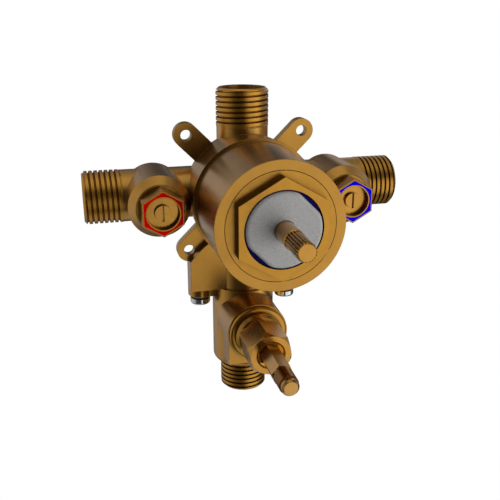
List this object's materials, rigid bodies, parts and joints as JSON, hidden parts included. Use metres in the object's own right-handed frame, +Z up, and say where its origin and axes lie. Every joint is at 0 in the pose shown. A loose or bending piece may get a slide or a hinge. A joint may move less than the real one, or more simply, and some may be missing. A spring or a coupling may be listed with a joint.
{
  "type": "pressure balancing shower valve",
  "caption": "Cast brass pressure balancing shower valve with threaded ports on four sides, screwdriver stops, mounting ears, a splined cartridge stem and a diverter below.",
  "frame": {"origin": "on the cartridge axis, in the plane of the back faces of the four mounting ears", "axes": "-Y out of the wall along the cartridge stem, +X to the cold inlet, +Z up to the shower outlet"},
  "size_m": [0.1308, 0.0986, 0.1329],
  "materials": {
    "cast_brass": "satin",
    "turned_brass": "satin",
    "navy_plastic": "gloss",
    "grey_plastic": "rough",
    "inner_plastic": "matte",
    "inner_steel": "satin",
    "white_ceramic": "polished",
    "black_rubber": "matte",
    "red_ring": "gloss",
    "blue_ring": "gloss",
    "chrome_screw": "polished"
  },
  "bodies": {
    "valve": {"valve_body": "cast_brass", "diverter_body": "cast_brass", "retaining_nut": "turned_brass", "hot_stop_cap": "turned_brass", "cold_stop_cap": "turned_brass", "diverter_gland": "turned_brass", "diverter_bonnet": "turned_brass", "cartridge_housing": "navy_plastic", "cartridge_cap": "grey_plastic", "cartridge_base": "inner_plastic", "balance_block": "inner_plastic", "balance_sleeve": "inner_steel", "port_disc": "white_ceramic", "hot_port_seal": "black_rubber", "cold_port_seal": "black_rubber", "mixed_port_seal": "black_rubber", "stem_seal": "black_rubber", "housing_seal_front": "black_rubber", "housing_seal_rear": "black_rubber", "left_channel_washer": "black_rubber", "right_channel_washer": "black_rubber", "hot_stop_mark": "red_ring", "cold_stop_mark": "blue_ring", "left_channel_screw": "chrome_screw", "right_channel_screw": "chrome_screw"},
    "stem_group": {"cartridge_stem": "turned_brass", "rotor_disc": "white_ceramic"},
    "spool_group": {"balance_spool": "inner_steel"},
    "hot_stop_carriage": {"hot_stop_plunger": "turned_brass", "hot_stop_washer": "black_rubber"},
    "hot_stop_spindle": {"hot_stop_screw": "turned_brass"},
    "cold_stop_carriage": {"cold_stop_plunger": "turned_brass", "cold_stop_washer": "black_rubber"},
    "cold_stop_spindle": {"cold_stop_screw": "turned_brass"},
    "diverter_group": {"diverter_spindle": "turned_brass", "diverter_plug": "turned_brass", "spindle_seal": "black_rubber"}
  },
  "joints": [
    {"name": "handle_turn", "type": "hinge", "parent": "valve", "child": "stem_group", "pos_m": [0, -0.072, 0], "axis": [0, -1, 0], "range_deg": [0, 110]},
    {"name": "spool_shift", "type": "slide", "parent": "valve", "child": "spool_group", "axis": [1, 0, 0], "range_m": [-0.0015, 0.0015]},
    {"name": "hot_stop_travel", "type": "slide", "parent": "valve", "child": "hot_stop_carriage", "axis": [0, 1, 0], "range_m": [0, 0.00374]},
    {"name": "hot_stop_turn", "type": "hinge", "parent": "hot_stop_carriage", "child": "hot_stop_spindle", "pos_m": [-0.0373, -0.02, 0], "axis": [0, 1, 0], "range_deg": [0, 1080]},
    {"name": "cold_stop_travel", "type": "slide", "parent": "valve", "child": "cold_stop_carriage", "axis": [0, 1, 0], "range_m": [0, 0.00374]},
    {"name": "cold_stop_turn", "type": "hinge", "parent": "cold_stop_carriage", "child": "cold_stop_spindle", "pos_m": [0.0373, -0.02, 0], "axis": [0, 1, 0], "range_deg": [0, 1080]},
    {"name": "diverter_turn", "type": "hinge", "parent": "valve", "child": "diverter_group", "pos_m": [0, -0.055, -0.055], "axis": [0, -1, 0], "range_deg": [0, 90]}
  ],
  "couplings": [
    {"joint": "hot_stop_turn", "follows": "hot_stop_travel", "rad_per_m": 5026.5},
    {"joint": "cold_stop_turn", "follows": "cold_stop_travel", "rad_per_m": 5026.5}
  ]
}
